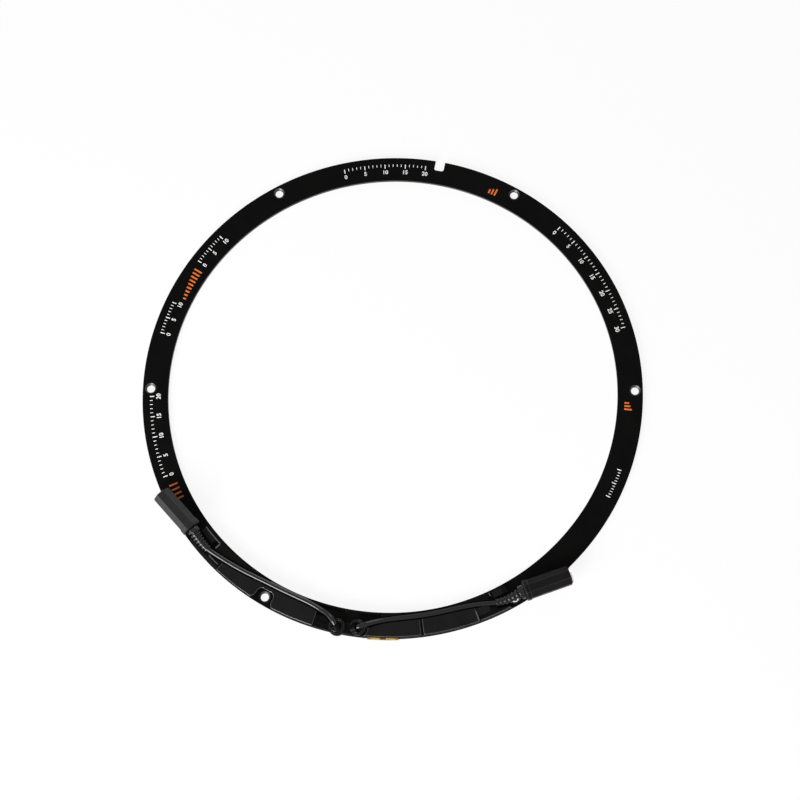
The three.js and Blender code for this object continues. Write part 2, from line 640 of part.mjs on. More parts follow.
function relief(points, connector, shape) {
  const { start, axis } = connectorFrame(connector);
  const route = points.map(onCover);
  route.push(start.clone().addScaledVector(axis, -RELIEF_LEAD_IN), start.clone());
  route.push(start.clone().addScaledVector(axis, SPIGOT_LENGTH));
  const length = routeCurve(route).getLength();
  return bentLathe(reliefProfile(length, shape), route, 14);
}

function addLeftConnector() {
  const group = connectorGroup(LEFT_CONNECTOR);
  const bushStart = SHELL_LENGTH - BUSH.length;
  const insertEnd = bushStart - CONNECTOR_FIT;
  const insertStart = insertEnd - LEFT_INSERT_LENGTH;
  const contactEnd = insertStart + LEFT_CONTACT.length;
  const contactRadius = BUSH.bore - CONTACT_FIT;
  add("connector_left_shell", shell(BUSH.radius, SHELL_LENGTH - insertStart), shellPlastic, group);
  add("connector_left_bush", sleeve(BUSH.bore, BUSH.radius, bushStart, SHELL_LENGTH), nickel, group);
  add("connector_left_insert", sleeve(BUSH.bore, BUSH.radius, insertStart, insertEnd), insulation, group);
  const contact = sleeve(contactRadius - LEFT_CONTACT.wall, contactRadius, insertStart, contactEnd);
  add("connector_left_contact", contact, nickel, group);
  add("relief_left", relief(RELIEF_LEFT, LEFT_CONNECTOR, RELIEF_LEFT_SHAPE), rubber);
}

function addRightConnector() {
  const group = connectorGroup(RIGHT_CONNECTOR);
  const bottom = SHELL_LENGTH - BARREL.depth;
  const insertRadius = BARREL.bore - CONNECTOR_FIT;
  const insertBore = RIGHT_CONTACT.radius + CONTACT_FIT;
  const insertEnd = bottom + RIGHT_INSERT_LENGTH;
  const barrelEnd = SHELL_LENGTH + BARREL.standOut;
  add("connector_right_shell", shell(BARREL.radius, BARREL.depth), shellPlastic, group);
  add("connector_right_barrel", sleeve(BARREL.bore, BARREL.radius, bottom, barrelEnd), nickel, group);
  add("connector_right_insert", sleeve(insertBore, insertRadius, bottom, insertEnd), insulation, group);
  const contact = sleeve(RIGHT_CONTACT.bore, RIGHT_CONTACT.radius, bottom, bottom + RIGHT_CONTACT.length);
  add("connector_right_contact", contact, nickel, group);
  add("relief_right", relief(RELIEF_RIGHT, RIGHT_CONNECTOR, RELIEF_RIGHT_SHAPE), rubber);
}

function addCables() {
  const cable = (route) => tube(route.map(onCover), CABLE_RADIUS, CABLE_SIDES, CABLE_STEP);
  add("cable_left", cable(CABLE_LEFT), rubber);
  add("cable_right", cable(CABLE_RIGHT), rubber);
}

function lead(points, material, name) {
  add(name, tube(points.map(onCover), LEAD_RADIUS, 6, LEAD_STEP), material);
}

// The board that joins the heater film to the power leads, on the cover's floor under the lid
function addBoard() {
  const top = FLOOR_Z + BOARD_THICKNESS;
  const inner = TROUGH_INNER + SEAT_GAP;
  const outer = TROUGH_OUTER - SEAT_GAP;
  add("terminal_board", band(inner, outer, BOARD_START, BOARD_END, FLOOR_Z, top), fibreglass);
  const padOffset = TAIL_INNER_OFFSET + PAD_RADIUS;
  const padPitch = (TAIL_END - BOARD_START) / 3;
  const low = LEAD_RADIUS + SEAT_GAP;
  const high = BOARD_THICKNESS + low;
  [0, 1].forEach((index) => {
    const padAngle = BOARD_START + padPitch * (index + 1);
    const pad = post(padAngle, padOffset, PAD_RADIUS, FACE_Z + FILM_THICKNESS, FLOOR_Z, 12);
    add(`tail_pad_${index + 1}`, pad, solder);
    const side = 2 * index - 1;
    const offset = LEAD_OFFSET + LEAD_SPREAD * side;
    const joint = post(BOARD_START + SOLDER_INSET, offset, SOLDER_RADIUS, top, top + SOLDER_HEIGHT, 10);
    add(`solder_joint_${index + 1}`, joint, solder);
    const entry = [LEAD_ENTRY, LEAD_OFFSET + LEAD_ENTRY_SPREAD * side, low];
    const runAngles = LEAD_RUN_ANGLES.map((step) => BOSSES[1].angle + step);
    const run = [...runAngles, LEAD_RISE_START].map((angle) => [angle, offset, low]);
    const landing = [-LEAD_LANDING, LEAD_LANDING].map((step) => [BOARD_START + step, offset, high]);
    lead([entry, ...run, ...landing], index ? redInsulation : insulation, `power_lead_${index + 1}`);
  });
}

function addSensor() {
  const bead = plug(BEAD_RADIUS, -BEAD_LENGTH / 2, BEAD_LENGTH / 2, 12);
  const place = onCover([BEAD_ANGLE, LEAD_OFFSET, BEAD_RADIUS + SEAT_GAP]);
  bead.rotateX(Math.PI / 2).rotateZ(radians(BEAD_ANGLE)).translate(place.x, place.y, place.z);
  add("thermistor", bead, epoxy);
  const halfTurn = THREE.MathUtils.radToDeg(BEAD_LENGTH / 2 / LEAD_MIDDLE);
  const angles = [BEAD_ANGLE + halfTurn + SENSOR_LEAD_GAP, ...SENSOR_LEAD_ANGLES];
  [0, 1].forEach((index) => {
    const across = LEAD_OFFSET + SENSOR_LEAD_SPACING * (index - 0.5);
    const route = angles.map((angle) => [angle, across, LEAD_RADIUS + SEAT_GAP]);
    lead(route, insulation, `sensor_lead_${index + 1}`);
  });
}

addRing();
addTray();
addLids();
addGland();
addCables();
addLeftConnector();
addRightConnector();
addBoard();
addSensor();

export default ring;
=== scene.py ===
"""A heated ring for the front cell of a telescope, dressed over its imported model, with studio light."""
import json
import math

import bmesh
import bpy
from mathutils import Matrix, Vector


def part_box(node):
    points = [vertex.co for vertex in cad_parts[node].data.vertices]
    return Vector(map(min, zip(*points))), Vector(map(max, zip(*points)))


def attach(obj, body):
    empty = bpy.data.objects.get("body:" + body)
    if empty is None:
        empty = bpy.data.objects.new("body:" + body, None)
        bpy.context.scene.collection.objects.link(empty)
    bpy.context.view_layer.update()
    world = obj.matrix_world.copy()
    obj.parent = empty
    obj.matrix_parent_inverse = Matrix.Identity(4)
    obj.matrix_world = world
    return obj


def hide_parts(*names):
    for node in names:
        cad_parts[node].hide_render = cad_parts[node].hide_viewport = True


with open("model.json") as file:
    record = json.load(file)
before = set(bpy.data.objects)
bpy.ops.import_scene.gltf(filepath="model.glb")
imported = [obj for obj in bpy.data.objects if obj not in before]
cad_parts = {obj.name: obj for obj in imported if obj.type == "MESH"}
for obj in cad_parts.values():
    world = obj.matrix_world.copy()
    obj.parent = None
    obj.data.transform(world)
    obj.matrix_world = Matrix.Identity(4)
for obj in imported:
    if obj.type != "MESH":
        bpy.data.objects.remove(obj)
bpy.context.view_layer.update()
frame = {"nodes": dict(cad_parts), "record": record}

MM = 0.001

# Sizes read from the frame, in metres
PLATE_LOW, PLATE_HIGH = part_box("ring_plate")
FACE_Z = PLATE_HIGH.z
TRAY_RIM_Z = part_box("base_tray")[1].z
LID_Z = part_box("lid_left")[1].z
OUTER_RADIUS = PLATE_HIGH.x

# The ring's own sizes, as its solid has them
BORE_RADIUS = 118.1 * MM
SCREW_CIRCLE_RADIUS = 127.35 * MM
SCREW_COUNT = 6
SCREW_HOLE_RADIUS = 2.1 * MM
COUNTERSINK_RADIUS = 2.9 * MM
COUNTERSINK_DEPTH = 0.8 * MM
NOTCH_ANGLE = 79.7
NOTCH_WIDTH = 5.2 * MM
NOTCH_DEPTH = 5.3 * MM
NOTCH_CORNER = 1.2 * MM
EDGE_CHAMFER = 0.28 * MM
COVER_MIDDLE = 125.0 * MM
CABLE_RADIUS = 1.4 * MM
CABLE_CLEARANCE = 0.3 * MM
FILM_THICKNESS = 0.25 * MM
TRAY_FLOOR_DROP = 1.7 * MM

# Printing: its thickness, and how much the numbers' strokes are thickened
PRINT_HEIGHT = 0.012 * MM
PRINT_BOLDNESS = 0.07 * MM

# Light: the world's fill on matt surfaces, the floor's colour, and how far the floor glows
WORLD_FILL = 0.18
FLOOR_TONE = 0.86
FLOOR_GLOW = 0.9
FLOOR_SIZE = 4.0
FLOOR_GAP = 0.06 * MM

FLOOR_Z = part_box("lid_left")[0].z - TRAY_FLOOR_DROP

# Routes: angle in degrees, then millimetres outwards from the cover's middle line and above its floor
CABLE_LEFT = [
    (258.6, 4.6, 2.0), (258.35, 4.0, 2.5), (257.8, 2.8, 3.5), (257.2, 1.4, 4.25), (256.3, -0.2, 4.2),
    (255.2, -1.6, 3.1), (254, -2.6, 2.0), (252, -3.8, 1.55), (250, -4.5, 1.5), (247, -4.9, 1.5),
    (244, -4.9, 1.5), (241, -4.7, 1.5), (238, -4.2, 1.5), (235, -3.3, 1.5), (232, -2.2, 1.5),
    (229, -1.0, 1.55), (226, 0.3, 1.7), (224, 1.3, 2.1), (222.9, 1.8, 2.5), (221.8, 2.0, 2.85),
]
CABLE_RIGHT = [
    (261.55, 3.6, 2.0), (261.9, 3.2, 2.5), (262.6, 2.4, 3.5), (263.5, 1.5, 4.25), (264.7, 0.3, 4.2),
    (266, -0.9, 3.2), (267.3, -1.9, 2.1), (269, -2.8, 1.55), (272, -3.6, 1.5), (276, -4.0, 1.5),
    (280, -4.1, 1.5), (285, -4.0, 1.5), (289, -3.4, 1.5), (292, -2.1, 1.55), (294.3, -0.4, 1.85),
    (295.6, 0.6, 2.25), (296.7, 1.2, 2.45),
]
RELIEF_LEFT = [(222.9, 1.8, 2.5), (221.4, 2.0, 3.0), (219.8, 1.95, 3.75), (218.5, 1.75, 4.5)]
RELIEF_RIGHT = [(295.6, 0.6, 2.25), (297.4, 1.5, 2.65), (299.2, 2.05, 3.4), (300.7, 2.25, 4.3)]

# Connectors: where the near end lies, the way it points, and its height above the ring's face
LEFT_CONNECTOR = {"angle": 217.0, "offset": 1.6, "heading": 132.4}
RIGHT_CONNECTOR = {"angle": 302.4, "offset": 2.7, "heading": 19.8}
CONNECTOR_Z = FACE_Z + 5.4 * MM
SPIGOT_LENGTH = 2.5 * MM
SPIGOT_RADIUS = 2.0 * MM

# The camera, fitted to the photograph: pixels of its 800 px square, degrees, and ring radii
PICTURE = 800
PRINCIPAL_POINT = (500.0, 430.0)
RING_CENTRE = (393.356, 389.449)
PIXELS_PER_RADIUS = 249.936
CAMERA_DISTANCE = 6.8272
CAMERA_TILT = 14.737
CAMERA_AZIMUTH = 86.983
RING_PHASE = -0.043
SENSOR = 36.0


def polar(angle, radius, z=0.0):
    """A point at an angle in degrees and a radius about the ring's axis."""
    turn = math.radians(angle)
    return Vector((radius * math.cos(turn), radius * math.sin(turn), z))


def on_cover(point):
    """A route's point in metres."""
    angle, offset, height = point
    return polar(angle, COVER_MIDDLE + offset * MM, FLOOR_Z + height * MM)


SCREW_PLACES = [polar(360 * i / SCREW_COUNT, SCREW_CIRCLE_RADIUS) for i in range(SCREW_COUNT)]


# Curves

def smooth(points, per_span=10):
    """Points of a centripetal Catmull-Rom curve through the given ones."""
    ends = [2 * points[0] - points[1], 2 * points[-1] - points[-2]]
    line = [ends[0], *points, ends[1]]
    out = []
    for i in range(1, len(line) - 2):
        p0, p1, p2, p3 = line[i - 1:i + 3]
        t0 = 0.0
        t1 = t0 + math.sqrt((p1 - p0).length)
        t2 = t1 + math.sqrt((p2 - p1).length)
        t3 = t2 + math.sqrt((p3 - p2).length)
        for k in range(per_span):
            t = t1 + (t2 - t1) * k / per_span
            a1 = p0 * ((t1 - t) / (t1 - t0)) + p1 * ((t - t0) / (t1 - t0))
            a2 = p1 * ((t2 - t) / (t2 - t1)) + p2 * ((t - t1) / (t2 - t1))
            a3 = p2 * ((t3 - t) / (t3 - t2)) + p3 * ((t - t2) / (t3 - t2))
            b1 = a1 * ((t2 - t) / (t2 - t0)) + a2 * ((t - t0) / (t2 - t0))
            b2 = a2 * ((t3 - t) / (t3 - t1)) + a3 * ((t - t1) / (t3 - t1))
            out.append(b1 * ((t2 - t) / (t2 - t1)) + b2 * ((t - t1) / (t2 - t1)))
    out.append(points[-1].copy())
    return out


def length_of(points):
    return sum((b - a).length for a, b in zip(points, points[1:]))


def even(points, count):
    """The polyline again, with evenly spaced points."""
    total = length_of(points)
    out = [points[0].copy()]
    walked = 0.0
    for a, b in zip(points, points[1:]):
        span = (b - a).length
        while len(out) < count and walked + span >= total * len(out) / count - 1e-12:
            out.append(a.lerp(b, (total * len(out) / count - walked) / span))
        walked += span
    out.append(points[-1].copy())
    return out


# Materials

def new_material(name):
    material = bpy.data.materials.new(name)
    material.use_nodes = True
    tree = material.node_tree
    shader = tree.nodes["Principled BSDF"]
    return material, tree, shader


def noise(tree, scale, detail=4.0, roughness=0.6, stretch=None):
    """Noise in the object's own coordinates, stretched along them if asked."""
    coords = tree.nodes.new("ShaderNodeTexCoord")
    texture = tree.nodes.new("ShaderNodeTexNoise")
    texture.inputs["Scale"].default_value = scale
    texture.inputs["Detail"].default_value = detail
    texture.inputs["Roughness"].default_value = roughness
    if stretch:
        mapping = tree.nodes.new("ShaderNodeMapping")
        mapping.inputs["Scale"].default_value = stretch
        tree.links.new(coords.outputs["Object"], mapping.inputs["Vector"])
        tree.links.new(mapping.outputs["Vector"], texture.inputs["Vector"])
    else:
        tree.links.new(coords.outputs["Object"], texture.inputs["Vector"])
    return texture.outputs["Fac"]


def ramp(tree, value, low, high, start=0.35, end=0.65):
    """The value spread between two numbers or two colours."""
    node = tree.nodes.new("ShaderNodeMapRange")
    if isinstance(low, (tuple, list)):
        node = tree.nodes.new("ShaderNodeValToRGB")
        node.color_ramp.elements[0].position = start
        node.color_ramp.elements[0].color = (*low, 1)
        node.color_ramp.elements[1].position = end
        node.color_ramp.elements[1].color = (*high, 1)
        tree.links.new(value, node.inputs["Fac"])
        return node.outputs["Color"]
    node.inputs["From Min"].default_value = start
    node.inputs["From Max"].default_value = end
    node.inputs["To Min"].default_value = low
    node.inputs["To Max"].default_value = high
    tree.links.new(value, node.inputs["Value"])
    return node.outputs["Result"]


def bump(tree, value, shader, distance, before=None):
    """Relief from a value, on top of an earlier bump node if there is one."""
    node = tree.nodes.new("ShaderNodeBump")
    node.inputs["Strength"].default_value = 1.0
    node.inputs["Distance"].default_value = distance
    tree.links.new(value, node.inputs["Height"])
    if before:
        tree.links.new(before.outputs["Normal"], node.inputs["Normal"])
    tree.links.new(node.outputs["Normal"], shader.inputs["Normal"])
    return node


def finish_material(name, dark, light, rough, grain, depth, specular, wave):
    """A surface with a slight change of colour and gloss, and a fine grain."""
    material, tree, shader = new_material(name)
    broad = noise(tree, 90.0, 5.0)
    tree.links.new(ramp(tree, broad, dark, light), shader.inputs["Base Color"])
    tree.links.new(ramp(tree, noise(tree, 260.0, 3.0), *rough), shader.inputs["Roughness"])
    shader.inputs["Specular IOR Level"].default_value = specular
    first = bump(tree, noise(tree, grain, 6.0, 0.65), shader, depth)
    if wave:
        scale, height = wave
        bump(tree, noise(tree, scale, 2.0, 0.4), shader, height, before=first)
    return material


def anodised_metal():
    """Black anodised aluminium: satin, with a very fine blasted grain and faint handling marks."""
    material, tree, shader = new_material("anodised_aluminium")
    broad = noise(tree, 35.0, 6.0, 0.7)
    colour = ramp(tree, broad, (0.0012, 0.0012, 0.0012), (0.0026, 0.0026, 0.0024))
    tree.links.new(colour, shader.inputs["Base Color"])
    scratch = noise(tree, 120.0, 8.0, 0.75, stretch=(1.0, 6.0, 1.0))
    tree.links.new(ramp(tree, scratch, 0.42, 0.56), shader.inputs["Roughness"])
    shader.inputs["Specular IOR Level"].default_value = 0.03
    first = bump(tree, noise(tree, 5200.0, 3.0, 0.6), shader, 0.000012)
    bump(tree, noise(tree, 1500.0, 4.0, 0.6), shader, 0.00001, before=first)
    return material


def film_material():
    """Amber polyimide: olive gold in the middle of the tab, with darker adhesive showing in patches."""
    material, tree, shader = new_material("polyimide")
    patches = noise(tree, 520.0, 4.0, 0.6)
    colour = ramp(tree, patches, (0.16, 0.075, 0.014), (0.36, 0.25, 0.06), 0.32, 0.5)
    tree.links.new(colour, shader.inputs["Base Color"])
    tree.links.new(ramp(tree, noise(tree, 900.0), 0.2, 0.34), shader.inputs["Roughness"])
    shader.inputs["Coat Weight"].default_value = 0.3
    bump(tree, noise(tree, 700.0, 3.0), shader, 0.00003)
    return material


def plain_metal(name, colour, rough):
    """Plating or solder, with faint drawn lines."""
    material, tree, shader = new_material(name)
    shader.inputs["Base Color"].default_value = (*colour, 1)
    shader.inputs["Metallic"].default_value = 1.0
    drawn = noise(tree, 800.0, 5.0, 0.7, stretch=(1, 1, 8))
    tree.links.new(ramp(tree, drawn, *rough), shader.inputs["Roughness"])
    bump(tree, noise(tree, 2500.0, 4.0), shader, 0.000004)
    return material


MATERIALS = {
    "anodised_aluminium": anodised_metal(),
    "polyimide": film_material(),
    "plated_contact": plain_metal("plated_contact", (0.72, 0.66, 0.56), (0.14, 0.26)),
    "solder": plain_metal("solder", (0.62, 0.62, 0.63), (0.22, 0.36)),
}
# Name: dark and light colour, roughness, then grain scale and depth, specular level, waviness
FINISHES = {
    "adhesive": (
        (0.3, 0.3, 0.285), (0.42, 0.42, 0.4), (0.6, 0.8),
        1800.0, 0.00003, 0.5, None,
    ),
    "cover_plastic": (
        (0.0045, 0.0045, 0.0048), (0.0068, 0.0068, 0.0073), (0.28, 0.38),
        3200.0, 0.000012, 0.07, (160.0, 0.00005),
    ),
    # Painted highlight: a lighter copy of the cover plastic for bevelled edges and thin trim lines.
    "cover_edge_highlight": (
        (0.03, 0.03, 0.0305), (0.06, 0.06, 0.061), (0.2, 0.3),
        2200.0, 0.000006, 0.5, None,
    ),
    # Painted highlight: a lighter copy of the cover plastic for the outer rim round each gland boss.
    "rim_highlight": (
        (0.01, 0.01, 0.0105), (0.018, 0.018, 0.0185), (0.2, 0.3),
        2200.0, 0.000006, 0.3, None,
    ),
    # Painted highlight: a lighter grey than the anodised face, for the countersink cones.
    "countersink": (
        (0.018, 0.018, 0.018), (0.035, 0.035, 0.035), (0.3, 0.4),
        2200.0, 0.000006, 0.5, None,
    ),
    # Painted light: a lighter grey than the anodised face, for the bore's wall and chamfers.
    "bore_wall_sheen": (
        (0.02, 0.02, 0.02), (0.045, 0.045, 0.045), (0.3, 0.4),
        2200.0, 0.000006, 0.3, None,
    ),
    "tray_plastic": (
        (0.0016, 0.0016, 0.0015), (0.0032, 0.0031, 0.0028), (0.34, 0.46),
        3200.0, 0.000012, 0.04, (160.0, 0.00005),
    ),
    "connector_plastic": (
        (0.004, 0.004, 0.0042), (0.0065, 0.0065, 0.0068), (0.34, 0.46),
        3600.0, 0.00002, 0.06, None,
    ),
    "connector_gloss": (
        (0.003, 0.003, 0.0031), (0.005, 0.005, 0.0052), (0.26, 0.36),
        3600.0, 0.00001, 0.26, None,
    ),
    # Painted highlight: a lighter copy of the connector plastic for the right shell's rounded edges.
    "connector_edge_highlight": (
        (0.008, 0.008, 0.0083), (0.016, 0.016, 0.0165), (0.3, 0.42),
        2200.0, 0.000006, 0.2, None,
    ),
    "cable_jacket": (
        (0.0012, 0.0012, 0.0013), (0.002, 0.002, 0.0021), (0.1, 0.14),
        2600.0, 0.0000005, 0.3, None,
    ),
    "relief_rubber": (
        (0.0014, 0.0014, 0.0015), (0.0024, 0.0024, 0.0025), (0.14, 0.22),
        2600.0, 0.000003, 0.32, None,
    ),
    "circuit_board": (
        (0.02, 0.1, 0.045), (0.03, 0.14, 0.06), (0.3, 0.45),
        900.0, 0.00002, 0.5, None,
    ),
    "insulation": (
        (0.014, 0.014, 0.015), (0.02, 0.02, 0.021), (0.4, 0.55),
        2400.0, 0.00001, 0.3, None,
    ),
    "red_insulation": (
        (0.3, 0.02, 0.016), (0.38, 0.03, 0.025), (0.35, 0.5),
        2400.0, 0.00001, 0.5, None,
    ),
    "epoxy": (
        (0.02, 0.014, 0.012), (0.03, 0.02, 0.018), (0.2, 0.35),
        1200.0, 0.00002, 0.5, None,
    ),
    "white_ink": (
        (0.72, 0.72, 0.71), (0.84, 0.84, 0.83), (0.5, 0.65),
        5000.0, 0.00001, 0.3, None,
    ),
    "orange_ink": (
        (0.6, 0.13, 0.02), (0.7, 0.17, 0.03), (0.5, 0.65),
        5000.0, 0.00001, 0.3, None,
    ),
    "brown_patch": (
        (0.03, 0.007, 0.003), (0.07, 0.016, 0.005), (0.3, 0.5),
        2000.0, 0.00002, 0.4, None,
    ),
    # The film's tail ends: dark brown with lighter orange, where the lighter orange is a painted glint.
    "amber_end_glint": (
        (0.1, 0.028, 0.006), (0.42, 0.19, 0.05), (0.15, 0.3),
        900.0, 0.00002, 0.6, None,
    ),
}
for finish, (dark, light, rough, grain, depth, specular, wave) in FINISHES.items():
    MATERIALS[finish] = finish_material(finish, dark, light, rough, grain, depth, specular, wave)


# Pieces

def shade(mesh, angle=40.0):
    mesh.polygons.foreach_set("use_smooth", [True] * len(mesh.polygons))
    mesh.set_sharp_from_angle(angle=math.radians(angle))


def piece(name, mesh, finish, replaced=(), weighted=True):
    """An object on the root body, with its first material; its faces keep their material numbers."""
    obj = bpy.data.objects.new(name, mesh)
    bpy.context.scene.collection.objects.link(obj)
    indices = [polygon.material_index for polygon in mesh.polygons]
    mesh.materials.clear()
    mesh.materials.append(MATERIALS[finish])
    mesh.polygons.foreach_set("material_index", indices)
    shade(mesh)
    if weighted:
        modifier = obj.modifiers.new("Weighted normals", "WEIGHTED_NORMAL")
        modifier.keep_sharp = True
    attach(obj, "root")
    if replaced:
        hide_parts(*replaced)
    return obj


def from_bmesh(name, bm):
    bmesh.ops.recalc_face_normals(bm, faces=bm.faces)
    mesh = bpy.data.meshes.new(name)
    bm.to_mesh(mesh)
    bm.free()
    return mesh


# A chord of an arc about the ring's centre: how level and how even it is, and the angle it spans
CHORD_LEVEL = 2e-6
CHORD_EVEN = 4e-6
CHORD_ANGLES = (math.radians(0.9), math.radians(4.5))
CHORD_SAG = 0.2 * MM


def round_arcs(bm, cuts=3):
    """Splits the chords of arcs about the ring's centre, and puts the new corners on the arc."""
    chords = {}
    for edge in bm.edges:
        a, b = (vertex.co for vertex in edge.verts)
        flat_a, flat_b = Vector(a.xy), Vector(b.xy)
        level = abs(a.z - b.z) < CHORD_LEVEL and abs(flat_a.length - flat_b.length) < CHORD_EVEN
        if level and flat_a.length > BORE_RADIUS * 0.9:
            if CHORD_ANGLES[0] < flat_a.angle(flat_b) < CHORD_ANGLES[1]:
                chords[edge] = flat_a.length
    if not chords:
        return
    radii = sorted(set(round(radius, 6) for radius in chords.values()))
    old = set(bm.verts)
    bmesh.ops.subdivide_edges(bm, edges=list(chords), cuts=cuts, use_grid_fill=True)
    for vertex in bm.verts:
        if vertex in old:
            continue
        flat = Vector(vertex.co.xy)
        target = min(radii, key=lambda radius: abs(radius - flat.length))
        if abs(target - flat.length) < CHORD_SAG:
            flat = flat.normalized() * target
            vertex.co.x, vertex.co.y = flat


CABLE_POINTS = []
for route in (CABLE_LEFT, CABLE_RIGHT):
    CABLE_POINTS += [Vector(point.xy) for point in smooth([on_cover(p) for p in route], 4)]
# How near a cable the cover's edges go without the painted highlight.
CABLE_SHADE = 2.3 * MM


def near_cable(place):
    """Whether a place on the cover lies along a cable, where the edge gets no painted highlight."""
    flat = Vector(place.xy)
    return min((flat - point).length for point in CABLE_POINTS) < CABLE_SHADE


def refined(node, width, slot, finish=None, segments=2, angle=28.0, edge=None):
    """A node's own solid with its flat faces whole again and its edges rounded; given an edge finish, the
    rounded edges carry a painted highlight.
    """
    bm = bmesh.new()
    bm.from_mesh(frame["nodes"][node].data)
    bmesh.ops.remove_doubles(bm, verts=bm.verts, dist=3e-6)
    bmesh.ops.dissolve_limit(bm, angle_limit=math.radians(0.6), verts=bm.verts, edges=bm.edges)
    round_arcs(bm)
    limit = math.radians(angle)
    sharp = [e for e in bm.edges if len(e.link_faces) == 2 and e.calc_face_angle(0.0) > limit]
    # The bevel faces take the edge finish, a painted highlight, when one is given.
    bmesh.ops.bevel(bm, geom=sharp, offset=width, offset_type="OFFSET", segments=segments, profile=0.6,
                    affect="EDGES", clamp_overlap=True, material=1 if edge else 0)
    bmesh.ops.remove_doubles(bm, verts=bm.verts, dist=1e-6)
    # Bevel faces along a cable go back to the plain finish, without the painted highlight.
    for face in bm.faces:
        if face.material_index and near_cable(face.calc_center_median()):
            face.material_index = 0
    obj = piece(node + "_fine", from_bmesh(node + "_fine", bm), finish or slot, (node,))
    if edge:
        obj.data.materials.append(MATERIALS[edge])
    return obj


def flat_outline(curve, points):
    """Adds a closed outline to a flat curve."""
    spline = curve.splines.new("POLY")
    spline.points.add(len(points) - 1)
    for target, point in zip(spline.points, points):
        target.co = (point.x, point.y, 0.0, 1.0)
    spline.use_cyclic_u = True


def slab_mesh(name, outlines, low, high, chamfer):
    """A flat sheet with holes, with its edges chamfered."""
    curve = bpy.data.curves.new(name, "CURVE")
    curve.dimensions = "2D"
    curve.fill_mode = "BOTH"
    curve.extrude = (high - low) / 2 - chamfer
    curve.bevel_depth = chamfer
    curve.bevel_resolution = 1
    curve.offset = -chamfer
    for points in outlines:
        flat_outline(curve, points)
    holder = bpy.data.objects.new(name, curve)
    bpy.context.scene.collection.objects.link(holder)
    bpy.context.view_layer.update()
    evaluated = holder.evaluated_get(bpy.context.evaluated_depsgraph_get())
    mesh = bpy.data.meshes.new_from_object(evaluated)
    bpy.data.objects.remove(holder)
    mesh.transform(Matrix.Translation((0, 0, (low + high) / 2)))
    bm = bmesh.new()
    bm.from_mesh(mesh)
    bmesh.ops.remove_doubles(bm, verts=bm.verts, dist=1e-6)
    bmesh.ops.dissolve_limit(bm, angle_limit=math.radians(0.3), verts=bm.verts, edges=bm.edges)
    bpy.data.meshes.remove(mesh)
    return from_bmesh(name, bm)


def circle(radius, count, centre=Vector((0, 0, 0))):
    return [centre + polar(360 * i / count, radius) for i in range(count)]


def ring_outline(count=288):
    """The outer edge with its notch."""
    half = NOTCH_WIDTH / 2
    half_angle = math.degrees(math.asin(half / OUTER_RADIUS))
    points = []
    for i in range(1, count):
        points.append(polar(NOTCH_ANGLE + half_angle + (360 - 2 * half_angle) * i / count, OUTER_RADIUS))
    mouth = math.sqrt(OUTER_RADIUS ** 2 - half ** 2)
    floor = OUTER_RADIUS - NOTCH_DEPTH
    side = [(half, mouth)]
    for i in range(9):
        turn = math.radians(90 * i / 8)
        across = half - NOTCH_CORNER + NOTCH_CORNER * math.cos(turn)
        side.append((across, floor + NOTCH_CORNER - NOTCH_CORNER * math.sin(turn)))
    notch = side + [(-across, out) for across, out in reversed(side)]
    turn = Matrix.Rotation(math.radians(NOTCH_ANGLE - 90), 3, "Z")
    return points + [turn @ Vector((across, out, 0)) for across, out in notch]


def countersink_cutter():
    """One cone for each screw hole, a little deeper and wider than its countersink."""
    bm = bmesh.new()
    slope = (COUNTERSINK_RADIUS - SCREW_HOLE_RADIUS) / COUNTERSINK_DEPTH
    below, above = 1.25 * COUNTERSINK_DEPTH, 0.75 * COUNTERSINK_DEPTH
    lift = Vector((0, 0, (above - below) / 2 + FACE_Z))
    for place in SCREW_PLACES:
        bmesh.ops.create_cone(
            bm, cap_ends=True, segments=48, radius1=COUNTERSINK_RADIUS - slope * below,
            radius2=COUNTERSINK_RADIUS + slope * above, depth=below + above,
            matrix=Matrix.Translation(place + lift),
        )
    cutter = bpy.data.objects.new("countersinks", from_bmesh("countersinks", bm))
    bpy.context.scene.collection.objects.link(cutter)
    return cutter


def in_countersink(face):
    """Whether a face of the plate is part of a countersink's cone."""
    sloped = 0.5 < face.normal.z < 0.9 and FACE_Z - COUNTERSINK_DEPTH < face.center.z < FACE_Z
    nearest = min((face.center.xy - place.xy).length for place in SCREW_PLACES)
    return sloped and nearest < COUNTERSINK_RADIUS


def on_bore(face):
    """Whether a face of the plate is part of the bore's wall or its chamfers."""
    return abs(face.normal.z) < 0.9 and face.center.xy.length < BORE_RADIUS + 2 * EDGE_CHAMFER


def make_plate():
    """The ring's plate with its notch, holes and countersinks."""
    outlines = [ring_outline(), circle(BORE_RADIUS, 288)]
    outlines += [circle(SCREW_HOLE_RADIUS, 40, place) for place in SCREW_PLACES]
    mesh = slab_mesh("ring_plate_fine", outlines, PLATE_LOW.z, FACE_Z, EDGE_CHAMFER)
    obj = piece("ring_plate_fine", mesh, "anodised_aluminium", ("ring_plate",))
    cutter = countersink_cutter()
    modifier = obj.modifiers.new("Countersinks", "BOOLEAN")
    modifier.object = cutter
    modifier.operation = "DIFFERENCE"
    modifier.solver = "EXACT"
    obj.modifiers.move(1, 0)
    bpy.context.view_layer.update()
    evaluated = obj.evaluated_get(bpy.context.evaluated_depsgraph_get())
    cut = bpy.data.meshes.new_from_object(evaluated)
    obj.modifiers.clear()
    obj.data = cut
    cut.materials.clear()
    # The countersink cones and the bore's wall and chamfers take lighter greys than the face: painted
    # light on the one anodised finish.
    for finish in ("anodised_aluminium", "countersink", "bore_wall_sheen"):
        cut.materials.append(MATERIALS[finish])
    for face in cut.polygons:
        face.material_index = 1 if in_countersink(face) else 2 if on_bore(face) else 0
    bpy.data.objects.remove(cutter)
    obj.modifiers.new("Weighted normals", "WEIGHTED_NORMAL").keep_sharp = True


# Cables and connectors

